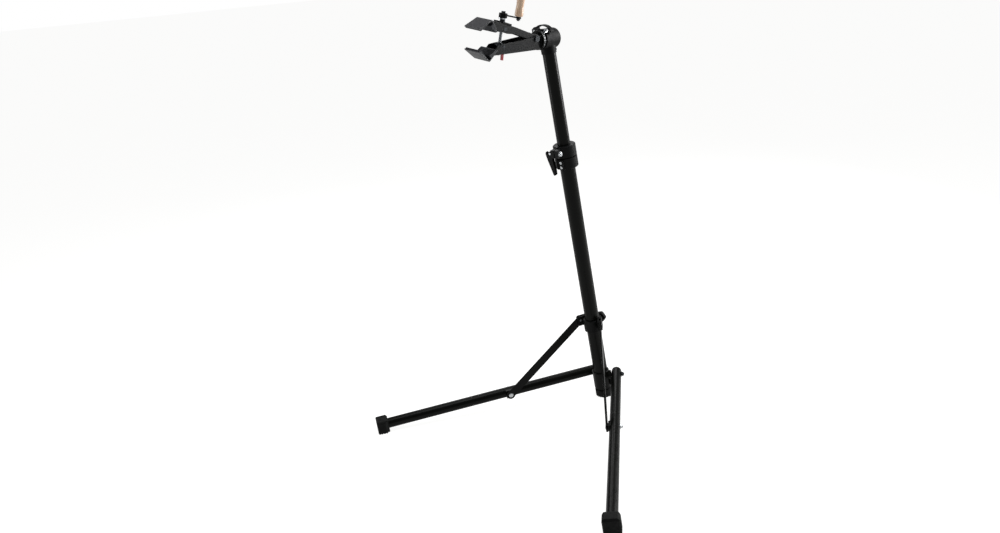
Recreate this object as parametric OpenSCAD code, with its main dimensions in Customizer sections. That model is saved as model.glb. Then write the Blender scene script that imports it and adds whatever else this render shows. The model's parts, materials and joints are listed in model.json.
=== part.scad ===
// Folding bicycle work stand: a leaning telescopic mast on a rubber foot, two long
// folding legs braced to a sliding collar, and a turning head with a screw clamp.
// Millimetres. +Z is up, -Y is forward (where the clamp points), +X is the stand's right.
// The origin is where the mast's axis meets the floor.
// Lengths "along the mast" are measured from the origin up the leaning axis.

/* [Mast] */
// Forward lean of the mast from vertical, degrees
mast_lean = 8; // [4:1:14]
// Outer diameter of the lower mast tube
lower_d = 45; // [40:1:54]
// Wall of the lower mast tube
lower_wall = 1.6; // [1.2:0.2:2]
// Top of the lower mast tube, along the mast
lower_top = 826; // [760:1:990]
// Outer diameter of the upper mast tube
upper_d = 38; // [32:1:39]
// Wall of both the upper mast tube and the leg tubes
tube_wall = 1.5; // [1.2:0.1:2]
// Height of the head's turning axis, along the mast
head_h = 1170; // [1080:1:1400]
// Length of the upper mast tube
upper_len = 704; // [600:1:850]
// Height of the rubber foot under the mast
foot_h = 28; // [22:1:36]

/* [Legs] */
// Outer diameter of a leg tube
leg_d = 32; // [26:1:34]
// Length of a leg from its pivot to the outer end of its rubber foot
leg_len = 740; // [620:1:900]
// Angle of each leg away from straight forward, degrees
leg_splay = 34; // [26:1:42]
// Height of the leg pivots, along the mast
pivot_h = 71; // [64:1:84]
// Length of the leg behind its pivot
leg_tail = 25; // [20:1:32]
// Distance between the leg's side and the mast's side
leg_gap = 10.6; // [10.6:0.1:16]
// Height of a leg's centre above the floor at its foot
foot_axis_h = 21.5; // [20:0.5:26]
// Width of a rubber foot
pad_w = 48; // [42:1:56]
// Length of a rubber foot along the leg
pad_len = 37; // [30:1:48]

/* [Braces] */
// Distance from a leg's pivot to its brace bolt
brace_at = 301.5; // [250:1:350]
// Width of a brace bar
brace_w = 25; // [20:1:28]
// Thickness of a brace bar
brace_t = 5; // [4:0.5:5]
// Height of the brace pivots on the sliding collar, along the mast
slide_h = 280; // [240:1:330]
// Distance of the brace pivots from the mast's axis, along the leg
slide_reach = 32; // [31:1:38]
// Height of the sliding collar's sleeve
slide_len = 41; // [36:1:50]
// Width of the star knob on the sliding collar
knob_d = 36; // [30:1:44]

/* [Height lock] */
// Outer diameter of the height lock's body
lock_d = 66; // [62:1:67]
// Height of the lock's lower ring
lock_base_h = 35; // [30:1:42]
// Height of the lock's split upper ring
lock_band_h = 33; // [28:1:40]
// Slit between the two rings and between the ears
slit = 2.4; // [2:0.2:3]
// Distance of the lock's skewer in front of the mast's axis
skewer_reach = 41; // [41:1:46]
// Length of the lock's lever below its skewer
lever_len = 67; // [55:1:80]

/* [Head] */
// Outer diameter of the head's housing
house_d = 55; // [50:1:62]
// Length of the housing in front of the mast's axis
house_front = 30; // [28:1:38]
// Length of the housing behind the mast's axis, without its cap
house_back = 26; // [24:1:30]
// Diameter of the head's spindle
spindle_d = 24; // [20:1:26]
// Turn of the head about its spindle, degrees
head_roll = 11; // [-40:1:40]
// Distance from the mast's axis to the arms' pivot
arm_root = 64; // [61:1:75]
// Height of the arms' pivot above the head's turning axis
arm_rise = 9.5; // [6:0.5:12]

/* [Clamp] */
// Angle of the lower arm, degrees
lower_tilt = -2.8; // [-6:0.1:0]
// Angle of the upper arm at rest, degrees
upper_tilt = 16.9; // [14:0.1:20]
// Outer width of the lower arm's channel
channel_w = 34; // [32:1:40]
// Depth of the lower arm's channel below the arm's line, at its root
channel_root = 31; // [27:0.5:34]
// Depth of the lower arm's channel below the arm's line, at the jaw
channel_tip = 15; // [13:0.5:20]
// Depth of the lower jaw's outer corner below the arm's line
jaw_drop = 25.5; // [23:0.5:30]
// Height of the lower arm's channel above the arm's line
channel_above = 6; // [5:0.5:9]
// Sheet thickness of both arms and the jaw plates
sheet = 3; // [2.5:0.5:3.5]
// Distance from the arms' pivot to the clamp screw's swivels
swivel_at = 130; // [126:1:140]
// Diameter of the clamp screw
screw_d = 9; // [8:0.5:10]
// Width of the jaws
jaw_w = 52; // [46:1:70]
// Distance from the pivot to the bottom of the lower jaw
lower_jaw_at = 193.5; // [188:0.5:205]
// Distance from the pivot to the top of the upper jaw
upper_jaw_at = 200.5; // [193:0.5:210]
// Length of a jaw's front wing
wing_front = 47; // [42:1:50]
// Length of a jaw's back wing
wing_back = 36; // [28:1:38]
// Angle of the jaws' wings to their arm, degrees
wing_angle = 38; // [36:1:42]
// Thickness of the rubber jaw pads at the jaw's bottom
pad_t = 9; // [6:0.5:10]
// Thickness of the rubber jaw pads at their tips
pad_tip = 5; // [3:0.5:6]

/* [Crank] */
// Throw of the crank
crank_throw = 52; // [44:1:66]
// Length of the wooden handle
handle_len = 80; // [70:1:95]
// Largest diameter of the wooden handle
handle_d = 23; // [19:1:27]

/* [Hidden] */

$fn = 64;
seat = 0.05;           // gap of pieces that are seated or pressed together
run = 0.06;            // radial gap of a bore that turns or slides on a shaft
side_gap = 0.4;        // gap between faces that pass each other
overlap = 1;           // how far joined shapes run into each other
bolt_r = 4;            // shank radius of the pivot bolts
small = 0.01;

lower_r = lower_d / 2;
upper_r = upper_d / 2;
leg_r = leg_d / 2;
leg_off = lower_r + leg_gap + leg_r;          // leg axis beside the mast's axis
lug_end = leg_off - leg_r - side_gap;         // outer end of the hub's lugs
brace_out = leg_off - leg_r - 4.5;            // outer face of a brace bar
brace_in = brace_out - brace_t;               // inner face of a brace bar

// Rise of the legs that sets their feet at the right height on the floor
pivot_z = pivot_h * cos(mast_lean) + leg_off * sin(leg_splay) * sin(mast_lean);
climb_up = cos(mast_lean);
climb_down = cos(leg_splay) * sin(mast_lean);
climb = sqrt(climb_up * climb_up + climb_down * climb_down);
leg_rise = asin((foot_axis_h - pivot_z) / leg_len / climb) + atan2(climb_down, climb_up);

// Brace from the collar's pivot to the leg's bolt, in the plane beside a leg
bolt_out = brace_at * cos(leg_rise);
bolt_up = pivot_h + brace_at * sin(leg_rise);
brace_len = norm([bolt_out - slide_reach, slide_h - bolt_up]);
brace_drop = atan2(slide_h - bolt_up, bolt_out - slide_reach);

lock_r = lock_d / 2;
lock_mid = lower_top + 6;                     // slit's height along the mast
lock_top = lock_mid + slit / 2 + lock_band_h;
ear_w = 13;                                   // half width across a clamp's two ears
skewer_r = 3;
skewer_h = lock_mid + slit / 2 + 18;
cam_r = 6.5;
cam_x = -ear_w - cam_r - side_gap;            // cam pin's place across the clamp

house_r = house_d / 2;
spindle_r = spindle_d / 2;
bush_t = 3;
cap_spigot = 20;        // radius of the rear cap's spigot
cap_dome = 4;
flange_r = 26;
flange_t = 5;
ring_t = 7;
ring_start = house_front + 1;
flange_start = ring_start + ring_t + 0.5;
head_skewer_z = 22.5;
head_skewer_at = house_front - 8;
head_band = 20;
neck_wall = 2.2;
upper_top = head_h - 26;                      // top of the upper tube, inside the neck

half_w = channel_w / 2;
upper_half_w = half_w - sheet - 0.5;
pin_r = 5;
screw_r = screw_d / 2;
jaw_base = -jaw_drop + sheet;                 // inner bottom of the lower jaw
jaw_crown = 7.5;                              // inner top of the upper jaw
upper_crest = 12;                             // top of the upper arm about its swivel
apex = upper_tilt - lower_tilt;
screw_span = 2 * swivel_at * sin(apex / 2);   // between the two swivels
screw_lean = (upper_tilt + lower_tilt) / 2;
screw_below = 24;
hub_at = 26;
hub_len = 12;
slot_back = 9;         // screw slot in the upper arm, behind and in front of the swivel
slot_front = 14;

// Where a sheet meets a jaw's back wing, at a height above the jaw's inner corner
function behind_wing(jaw_at, height) =
    jaw_at - (height + sheet / cos(wing_angle)) / tan(wing_angle) - 2 * seat;

// ---- frames ----

module mast_frame() {
    rotate([mast_lean, 0, 0]) children();
}

// Beside a leg: +X points out of the stand's side, -Y runs along the leg, Z along the mast
module leg_frame(side) {
    mast_frame() mirror([side < 0 ? 1 : 0, 0, 0]) rotate([0, 0, leg_splay]) children();
}

// On a leg's axis, at its pivot: -Y runs down the leg
module leg_axis(side) {
    leg_frame(side) translate([leg_off, 0, pivot_h]) rotate([-leg_rise, 0, 0]) children();
}

// On a brace, at its collar pivot: -Y runs down the brace
module brace_frame(side) {
    leg_frame(side) translate([0, -slide_reach, slide_h]) rotate([brace_drop, 0, 0]) children();
}

// On the head's turning axis: +X forward, +Y to the stand's right, +Z up
module house_frame() {
    translate([0, -head_h * sin(mast_lean), head_h * cos(mast_lean)]) rotate([0, 0, -90]) children();
}

// On the head's turning axis, turned with the head
module spindle_frame() {
    house_frame() rotate([-head_roll, 0, 0]) children();
}

// At the arms' pivot, turned with the head
module clamp_frame() {
    spindle_frame() translate([arm_root, 0, arm_rise]) children();
}

module lower_frame() {
    clamp_frame() rotate([0, -lower_tilt, 0]) children();
}

module upper_frame() {
    clamp_frame() rotate([0, -upper_tilt, 0]) children();
}

// At the lower swivel with Z along the clamp screw
module screw_frame() {
    lower_frame() translate([swivel_at, 0, 0]) rotate([0, lower_tilt - screw_lean, 0]) children();
}

// ---- shapes ----

module along_x(r, from, to) {
    translate([from, 0, 0]) rotate([0, 90, 0]) cylinder(r = r, h = to - from);
}

module along_y(r, from, to) {
    translate([0, from, 0]) rotate([-90, 0, 0]) cylinder(r = r, h = to - from);
}

module ring(r_out, r_in, from, to) {
    translate([0, 0, from]) difference() {
        cylinder(r = r_out, h = to - from);
        translate([0, 0, -overlap]) cylinder(r = r_in, h = to - from + 2 * overlap);
    }
}

// A turned body from its half outline, about Z
module turned(outline) {
    rotate_extrude() polygon(outline);
}

// A turned body whose axis is X instead of Z
module turned_x(outline) {
    rotate([0, 90, 0]) turned(outline);
}

module rounded_rect(w, h, r) {
    square([w - 2 * r, h], center = true);
    square([w, h - 2 * r], center = true);
    for (x = [-1, 1], y = [-1, 1])
        translate([x * (w / 2 - r), y * (h / 2 - r)]) circle(r = r);
}

// A plate in the XZ plane, between two Y values, from its outline
module plate_xz(from, to) {
    translate([0, to, 0]) rotate([90, 0, 0]) linear_extrude(to - from) children();
}

// A plate in the YZ plane, between two X values, from its outline
module plate_yz(from, to) {
    translate([from, 0, 0]) rotate([90, 0, 90]) linear_extrude(to - from) children();
}

module hexagon(across, h) {
    cylinder(r = across / sqrt(3), h = h, $fn = 6);
}

// A bar with round ends, from the origin to -Y, as an outline in the YZ plane
module bar_outline(len, w, r_end) {
    translate([-len, -w / 2]) square([len, w]);
    circle(r = w / 2);
    translate([-len, 0]) circle(r = r_end);
}

// ---- mast ----

module lower_tube() {
    color("#1c1d1c") mast_frame() difference() {
        ring(lower_r, lower_r - lower_wall, foot_h / 4, lower_top);
        for (side = [-1, 1]) mirror([side < 0 ? 1 : 0, 0, 0]) rotate([0, 0, leg_splay])
            translate([0, 0, pivot_h]) along_x(bolt_r + seat, lower_r - 4, lower_r + 4);
    }
}

module mast_foot() {
    skirt = lower_r + 4;
    color("#161717") intersection() {
        mast_frame() difference() {
            turned([[0, -8], [skirt, -8], [skirt, foot_h - 3], [skirt - 2, foot_h], [0, foot_h]]);
            translate([0, 0, foot_h / 4]) cylinder(r = lower_r + seat, h = foot_h);
        }
        translate([-100, -100, 0]) cube(200);
    }
}

// Welded sleeve with a lug and a gusset for each leg
module hub_bracket() {
    sleeve_r = lower_r + 4.5;
    low = foot_h + 6;
    high = pivot_h + 22;
    boss_r = 14;
    web = 7;
    color("#1c1d1c") mast_frame() difference() {
        union() {
            ring(sleeve_r, lower_r - overlap, low, high);
            for (side = [-1, 1]) mirror([side < 0 ? 1 : 0, 0, 0]) rotate([0, 0, leg_splay]) {
                translate([0, 0, pivot_h]) along_x(boss_r, lower_r - 6, lug_end);
                translate([lower_r - 6, -web / 2, low]) cube([lug_end - lower_r + 6, web, high - low - 4]);
                translate([lug_end - 3, -boss_r, low + 6]) cube([3, 2 * boss_r, pivot_h - low - 6]);
            }
        }
        translate([0, 0, low - overlap]) cylinder(r = lower_r + seat, h = high - low + 2 * overlap);
        for (side = [-1, 1]) mirror([side < 0 ? 1 : 0, 0, 0]) rotate([0, 0, leg_splay])
            translate([0, 0, pivot_h]) along_x(bolt_r + seat, lower_r - 4, lug_end + overlap);
    }
}

module leg_pivot_bolts() {
    seat_at = leg_off + leg_r + side_gap;
    color("#2b2c2c") for (side = [-1, 1]) leg_frame(side) translate([0, 0, pivot_h]) {
        along_x(bolt_r, lower_r - 3, seat_at + 2);
        along_x(9, seat_at, seat_at + 1.6);
        translate([seat_at + 1.5, 0, 0]) rotate([0, 90, 0]) hexagon(13, 5.5);
        along_x(bolt_r - 0.8, seat_at, seat_at + 9);
    }
}

// ---- height lock ----

module lock_body() {
    low = lock_mid - slit / 2 - lock_base_h;
    lug_y = lock_r + 3;
    color("#202222") mast_frame() difference() {
        union() {
            turned([[0, low], [lock_r - 6, low], [lock_r, low + 4], [lock_r, lock_top - 2],
                [lock_r - 2, lock_top], [0, lock_top]]);
            translate([-ear_w, -skewer_reach - 8, skewer_h - 12]) cube([2 * ear_w, skewer_reach, 24]);
            translate([-7, -lug_y, low + 5]) cube([22, lug_y, lock_base_h - 7]);
        }
        translate([0, 0, low - overlap]) cylinder(r = lower_r + seat, h = lower_top - low + overlap + seat);
        translate([0, 0, low]) cylinder(r = upper_r + run, h = lock_top - low + overlap);
        difference() {
            translate([-100, -100, lock_mid - slit / 2]) cube([200, 200, slit]);
            translate([-lock_r * 0.4, 0, lock_mid - slit]) cube([lock_r * 0.8, 100, 2 * slit]);
        }
        translate([-slit / 2, -100, lock_mid]) cube([slit, 100, lock_band_h + 10]);
        translate([0, -skewer_reach, skewer_h]) along_x(skewer_r + 0.1, -50, 50);
        for (dz = [10, 24]) translate([9, 0, lock_mid - dz]) along_y(2.1, -50, -lock_r + 6);
    }
}

module lock_screws() {
    head_at = -lock_r - 3 - seat;
    color("#d8dadb") mast_frame() for (dz = [10, 24]) translate([9, 0, lock_mid - dz]) {
        along_y(2, head_at, head_at + 8);
        difference() {
            along_y(3.7, head_at - 2.4, head_at);
            along_y(1.6, head_at - 3, head_at - 1.2);
        }
    }
}

// Guide bush pressed into the top of the lower tube
module tube_bush() {
    color("#3a3d40") mast_frame()
        ring(lower_r - lower_wall - seat, upper_r + run, lower_top - 40, lower_top);
}

module lock_skewer() {
    color("#c9ccce") mast_frame() translate([0, -skewer_reach, skewer_h]) {
        along_x(skewer_r, cam_x, ear_w + 7);
        translate([cam_x, 0, 0]) along_y(3.5, -5, 5);
    }
}

module lock_nut() {
    color("#d8dadb") mast_frame() translate([0, -skewer_reach, skewer_h]) difference() {
        union() {
            along_x(7, ear_w, ear_w + 1.5);
            translate([ear_w + 1, 0, 0]) rotate([0, 90, 0]) hexagon(11, 4.5);
        }
        along_x(skewer_r + seat, ear_w - 1, ear_w + 12);
    }
}

// Cam lever outline around its pin: a wedge that hangs down and leans in to the mast
module lock_lever_outline() {
    circle(r = cam_r);
    polygon([[-cam_r, -4], [-cam_r - 7, 5], [-cam_r - 9, -2], [-cam_r - 4, -22], [2, -lever_len + 3],
        [5.5, -lever_len], [9, -lever_len + 3], [9.5, -lever_len + 22], [cam_r, -16], [cam_r, 0]]);
}

module lock_lever() {
    width = 10;
    color("#1d1f20") mast_frame() translate([cam_x, -skewer_reach, skewer_h]) difference() {
        plate_xz(-width / 2, width / 2) lock_lever_outline();
        along_y(3.5 + run, -20, 20);
        translate([-10, -skewer_r - 0.3, -skewer_r - 9]) cube([30, 2 * skewer_r + 0.6, skewer_r + 22]);
        for (z = [-40, -30]) translate([-9 - z / 8 - 16, -20, z]) cube([12, 40, 2]);
    }
}

// ---- upper mast and head ----

module upper_tube() {
    color("#1c1d1c") mast_frame() ring(upper_r, upper_r - tube_wall, upper_top - upper_len, upper_top);
}

// Plastic glide on the lower end of the upper tube
module tube_glide() {
    bottom = upper_top - upper_len;
    color("#3a3d40") mast_frame() {
        ring(lower_r - lower_wall - run, 8, bottom - 12, bottom - seat);
        ring(upper_r - tube_wall - seat, 8, bottom - 12, bottom + 18);
    }
}

module head_housing() {
    neck_low = head_h - house_r - 12;
    bore_r = spindle_r + bush_t + seat;
    color("#232526") difference() {
        union() {
            house_frame() turned_x([[0, -house_back], [house_r, -house_back], [house_r, house_front - 1],
                [house_r - 1, house_front], [0, house_front]]);
            mast_frame() translate([0, 0, neck_low]) cylinder(r = upper_r + neck_wall, h = head_h - neck_low);
            house_frame() translate([house_front - head_band, -ear_w, 0])
                cube([head_band, 2 * ear_w, head_skewer_z + 5]);
        }
        mast_frame() translate([0, 0, neck_low - overlap])
            cylinder(r = upper_r + seat, h = upper_top - neck_low + overlap + seat);
        house_frame() {
            along_x(bore_r, -house_back - overlap, house_front + overlap);
            along_x(cap_spigot + seat, -house_back - overlap, -house_back + 10);
            translate([house_front - head_band - 3, -slit / 2, 0]) cube([60, slit, 60]);
            translate([head_skewer_at, 0, head_skewer_z]) along_y(skewer_r + 0.1, -30, 30);
            // spot faces for the skewer's nut and cam
            for (s = [0, 1]) mirror([0, s, 0])
                translate([head_skewer_at - 8, ear_w, head_skewer_z - 8]) cube([30, 30, 30]);
        }
        neck_screw_places() along_y(2 + seat, upper_r - 1, 60);
    }
}

module neck_screw_places() {
    for (a = [-24, 24]) mast_frame() translate([0, 0, head_h - house_r - 6]) rotate([0, 0, a]) children();
}

module neck_screws() {
    color("#2b2c2c") neck_screw_places() {
        along_y(2, upper_r + seat, upper_r + neck_wall + 1);
        along_y(3.6, upper_r + neck_wall + seat, upper_r + neck_wall + 2.2);
    }
}

// Two plastic bushes that the spindle turns in
module spindle_bushes() {
    color("#e6e4dc") house_frame() rotate([0, 90, 0]) {
        ring(spindle_r + bush_t, spindle_r + run, -house_back + 10.2, -house_back + 21);
        ring(spindle_r + bush_t, spindle_r + run, house_front - 14, house_front - 0.5);
    }
}

// Domed cap pressed into the back of the housing
module rear_cap() {
    back = -house_back - seat;
    arc = [for (a = [0:15:90]) [house_r - cap_dome + cap_dome * cos(a), back - cap_dome * sin(a)]];
    color("#26282a") house_frame() rotate([0, 90, 0]) difference() {
        turned(concat([[0, back + 5], [cap_spigot, back + 5], [cap_spigot, back], [house_r, back]], arc,
            [[0, back - cap_dome]]));
        translate([0, 0, back - 1]) cylinder(r = cap_spigot - 3, h = 20);
    }
}

module head_skewer() {
    color("#c9ccce") house_frame() translate([head_skewer_at, 0, head_skewer_z]) {
        along_y(skewer_r, cam_x, ear_w + 7);
        translate([0, cam_x, 0]) along_x(3.5, -6, 6);
    }
}

module head_nut() {
    color("#d8dadb") house_frame() translate([head_skewer_at, 0, head_skewer_z]) difference() {
        union() {
            along_y(6.5, ear_w, ear_w + 1.5);
            translate([0, ear_w + 1, 0]) rotate([-90, 0, 0]) hexagon(10, 4.5);
        }
        along_y(skewer_r + seat, ear_w - 1, ear_w + 12);
    }
}

// Part of a ring about the spindle, between two radii and two angles
module ring_sector(inner, outer, first, last) {
    steps = 16;
    polygon(concat(
        [for (i = [0:steps]) let (a = first + (last - first) * i / steps) [outer * cos(a), outer * sin(a)]],
        [for (i = [0:steps]) let (a = last - (last - first) * i / steps) [inner * cos(a), inner * sin(a)]]));
}

// Cam lever on the skewer; its blade lies behind the skewer and wraps over the housing's top
module head_lever() {
    blade_r = house_r + 8;
    color("#1d1f20") house_frame() translate([head_skewer_at, 0, 0]) difference() {
        union() {
            plate_yz(-16, -3) ring_sector(blade_r, blade_r + 3.6, 30, 138);
            plate_yz(-15.5, cam_r) ring_sector(house_r + 1.5, blade_r + 3, 118, 137);
            translate([0, cam_x, head_skewer_z]) along_x(cam_r, -cam_r, cam_r);
        }
        translate([0, cam_x, head_skewer_z]) {
            along_x(3.5 + run, -20, 20);
            translate([-skewer_r - 0.3, -20, -20]) cube([2 * skewer_r + 0.6, 60, 20 + skewer_r + 0.4]);
        }
    }
}

module spindle() {
    color("#b9bcbe") spindle_frame() {
        along_x(spindle_r, -house_back + 10.5, flange_start);
        along_x(8, -house_back + 1.5, -house_back + 11);
    }
}

module spindle_nut() {
    color("#c9ccce") spindle_frame() translate([-house_back + 2.2, 0, 0]) rotate([0, 90, 0])
        difference() {
            union() {
                hexagon(24, 6);
                translate([0, 0, 6]) cylinder(r = 14, h = 1.8);
            }
            translate([0, 0, -1]) cylinder(r = 8 + seat, h = 20);
        }
}

// Toothed steel ring between the housing and the flange
module lock_ring() {
    teeth = 24;
    r = house_r - 3;
    color("#c4c7c9") spindle_frame() translate([ring_start, 0, 0]) rotate([0, 90, 0]) difference() {
        cylinder(r = r, h = ring_t);
        translate([0, 0, -1]) cylinder(r = spindle_r + seat, h = ring_t + 2);
        for (i = [0:teeth - 1]) rotate([0, 0, i * 360 / teeth]) translate([r, 0, -1])
            cylinder(r = 1.3, h = ring_t + 2);
    }
}

module head_flange() {
    color("#1c1d1c") spindle_frame() translate([flange_start, 0, 0]) rotate([0, 90, 0])
        turned([[0, 0], [flange_r - 1, 0], [flange_r, 1], [flange_r, flange_t - 1], [flange_r - 1, flange_t],
            [0, flange_t]]);
}

// ---- clamp ----

root_x = flange_start + flange_t - arm_root;   // back end of the lower arm

// One side of a channel, of sheet thickness, at its outer half width
module side_plate(side, half) {
    plate_xz(side > 0 ? half - sheet : -half, side > 0 ? half : -half + sheet) children();
}

// Side of the lower arm: a channel that tapers forward to the lower jaw's back wing
module lower_arm_outline() {
    shoulder = -1;
    polygon([[root_x, channel_above], [root_x, -channel_root + 5], [root_x + 5, -channel_root],
        [behind_wing(lower_jaw_at, -channel_tip - jaw_base), -channel_tip],
        [behind_wing(lower_jaw_at, shoulder - jaw_base), shoulder],
        [behind_wing(lower_jaw_at, shoulder - jaw_base) - 9, channel_above]]);
}

module lower_arm() {
    color("#232527") difference() {
        lower_frame() {
            for (s = [-1, 1]) side_plate(s, half_w) lower_arm_outline();
            plate_xz(-half_w, half_w) difference() {
                lower_arm_outline();
                translate([0, sheet]) lower_arm_outline();
            }
            plate_xz(-half_w, half_w) intersection() {
                lower_arm_outline();
                translate([root_x, -60]) square([sheet, 120]);
            }
        }
        // the back is cut square to the flange, whatever the arm's tilt
        clamp_frame() translate([root_x - 30, -50, -50]) cube([30, 100, 100]);
        lower_frame() {
            along_y(pin_r + seat, -30, 30);
            translate([swivel_at, 0, 0]) along_y(pin_r + run, -30, 30);
            translate([swivel_at - 32, -7.5, -40]) cube([45, 15, 30]);
        }
    }
}

// A jaw's bent sheet, as an outline that opens to +Y from its inner corner
module jaw_sheet_outline(front, back) {
    rise = sin(wing_angle);
    run_out = cos(wing_angle);
    bend = [for (a = [-90 - wing_angle:wing_angle / 3:-90 + wing_angle + small]) sheet * [cos(a), sin(a)]];
    polygon(concat([[0, 0], [-back * run_out, back * rise],
        [-back * run_out - sheet * rise, back * rise - sheet * run_out]], bend,
        [[front * run_out + sheet * rise, front * rise - sheet * run_out],
        [front * run_out, front * rise]]));
}

// The jaw's two pads, thick at the corner and thinner at the tips
module jaw_pads_outline(front, back) {
    start = pad_t * tan(wing_angle) + 0.8;
    for (wing = [[front, 0], [back, 1]]) mirror([wing[1], 0]) rotate(wing_angle)
        polygon([[start, seat], [wing[0] - 2, seat], [wing[0] - 2, pad_tip - 1.5], [wing[0] - 3.5, pad_tip],
            [start + 1, pad_t], [start, pad_t - 1]]);
}

module lower_jaw_plate() {
    color("#54565a") lower_frame() translate([lower_jaw_at, 0, jaw_base])
        plate_xz(-jaw_w / 2, jaw_w / 2) jaw_sheet_outline(wing_front, wing_back);
}

module lower_jaw_pads() {
    color("#1e1f20") lower_frame() translate([lower_jaw_at, 0, jaw_base])
        plate_xz(-jaw_w / 2, jaw_w / 2) jaw_pads_outline(wing_front, wing_back);
}

module arm_pivot_bolt() {
    color("#2b2c2c") clamp_frame() {
        along_y(pin_r, -half_w - 6, half_w + 1);
        along_y(8.5, half_w + seat, half_w + 3.6);
    }
}

module arm_pivot_nut() {
    color("#c9ccce") clamp_frame() translate([0, -half_w - seat, 0]) difference() {
        union() {
            along_y(8.5, -1.4, 0);
            rotate([90, 0, 0]) hexagon(13, 5);
        }
        along_y(pin_r + seat, -12, 3);
    }
}

// Side of the upper arm: a shallow channel that deepens towards the screw's swivel
module upper_arm_outline() {
    low = -7;
    crown = jaw_crown + 1;
    circle(r = 12);
    polygon([[0, -12], [20, -7], [swivel_at - 45, -5], [swivel_at - 12, -10], [swivel_at + 12, -10],
        [behind_wing(upper_jaw_at, jaw_crown - low), low],
        [behind_wing(upper_jaw_at, jaw_crown - crown), crown], [swivel_at + 24, upper_crest],
        [swivel_at - 40, upper_crest], [16, 9], [0, 12]]);
}

module upper_arm() {
    color("#2a2c2f") upper_frame() difference() {
        union() {
            for (s = [-1, 1]) side_plate(s, upper_half_w) upper_arm_outline();
            plate_xz(-upper_half_w, upper_half_w) difference() {
                upper_arm_outline();
                translate([0, -sheet]) upper_arm_outline();
                translate([-40, -60]) square([56, 120]);
            }
        }
        along_y(pin_r + run, -30, 30);
        translate([swivel_at, 0, 0]) along_y(pin_r + run, -30, 30);
        translate([swivel_at - slot_back, -8, 5]) cube([slot_back + slot_front, 16, 20]);
    }
}

module upper_jaw_plate() {
    color("#4c4e52") upper_frame() translate([upper_jaw_at, 0, jaw_crown]) mirror([0, 0, 1])
        plate_xz(-jaw_w / 2, jaw_w / 2) jaw_sheet_outline(wing_front, wing_back);
}

module upper_jaw_pads() {
    color("#1e1f20") upper_frame() translate([upper_jaw_at, 0, jaw_crown]) mirror([0, 0, 1])
        plate_xz(-jaw_w / 2, jaw_w / 2) jaw_pads_outline(wing_front, wing_back);
}

// Stiffening plate on the upper arm, slotted for the screw's swivel
module saddle_plate() {
    color("#2a2c2f") upper_frame() translate([swivel_at, 0, upper_crest + seat]) difference() {
        linear_extrude(4) rounded_rect(40, 32, 3);
        translate([-slot_back, -8, -1]) cube([slot_back + slot_front, 16, 10]);
    }
}

// Threaded swivel in the lower arm, with a fork for the release lever
fork_x = -16;
module nut_block() {
    color("#2b2c2c") screw_frame() difference() {
        union() {
            along_y(pin_r, -half_w - 0.5, half_w + 0.5);
            along_y(8.5, -upper_half_w + sheet + side_gap, upper_half_w - sheet - side_gap);
            translate([fork_x - 5, -9, -10]) cube([-fork_x + 5, 18, 11]);
        }
        translate([0, 0, -20]) cylinder(r = screw_r + run, h = 40);
        translate([fork_x - 6, -4.3, -12]) cube([13, 8.6, 16]);
        translate([fork_x, 0, -5]) along_y(2 + run, -12, 12);
    }
}

module release_lever() {
    color("#8e1622") screw_frame() translate([fork_x, 0, -5]) {
        along_y(2, -8.6, 8.6);
        difference() {
            plate_xz(-4, 4) {
                circle(r = 4);
                polygon([[-4, 0], [-3.5, -18], [-4.5, -32], [1.5, -32], [3.2, -18], [4, 0]]);
            }
            translate([-8, -5, -33]) cube([20, 2, 16]);
            translate([-8, 3, -33]) cube([20, 2, 16]);
        }
    }
}

// Swivel in the upper arm that carries the screw's thrust
module swivel_block() {
    color("#2b2c2c") screw_frame() translate([0, 0, screw_span]) difference() {
        union() {
            along_y(pin_r, -upper_half_w - 0.5, upper_half_w + 0.5);
            along_y(7.5, -upper_half_w + sheet + side_gap, upper_half_w - sheet - side_gap);
            cylinder(r = 7, h = 23);
        }
        translate([0, 0, -20]) cylinder(r = screw_r + run, h = 60);
    }
}

module thrust_washer() {
    color("#d8dadb") screw_frame()
        ring(11, screw_r + run, screw_span + 23 + seat, screw_span + hub_at - side_gap);
}

module clamp_screw() {
    color("#a6a9ab") screw_frame() translate([0, 0, -screw_below]) {
        cylinder(r1 = screw_r - 1.5, r2 = screw_r, h = 1.5);
        translate([0, 0, 1.5]) cylinder(r = screw_r, h = screw_below + screw_span + hub_at - 1.5);
        cylinder(r = screw_r - 1, h = screw_below + screw_span + hub_at + hub_len + 3);
        translate([0, 0, screw_below + screw_span + hub_at + hub_len + 0.1]) hexagon(10, 4.5);
    }
}

arm_low = 6;           // underside of the crank bar above the hub's foot
arm_t = 3.2;

module crank_hub() {
    color("#1e2022") screw_frame() translate([0, 0, screw_span + hub_at]) difference() {
        turned([[0, seat], [10, seat], [11, 1], [11, hub_len - 1], [10, hub_len], [0, hub_len]]);
        translate([0, 0, -1]) cylinder(r = screw_r - 1 + seat, h = hub_len + 2);
        translate([-5 - seat, 0, arm_low - seat]) cube([10 + 2 * seat, 30, arm_t + 2 * seat]);
    }
}

module crank_arm() {
    color("#1e2022") screw_frame() translate([0, 0, screw_span + hub_at + arm_low]) difference() {
        union() {
            translate([-5, 0, 0]) cube([10, crank_throw, arm_t]);
            translate([0, crank_throw, 0]) cylinder(r = 7, h = arm_t);
        }
        translate([-20, -20, -1]) cube([40, 20 + screw_r + 1, 10]);
        translate([0, crank_throw, -1]) cylinder(r = 3 + seat, h = 10);
    }
}

module crank_top() {
    screw_frame() translate([0, crank_throw, screw_span + hub_at + arm_low]) children();
}

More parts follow.
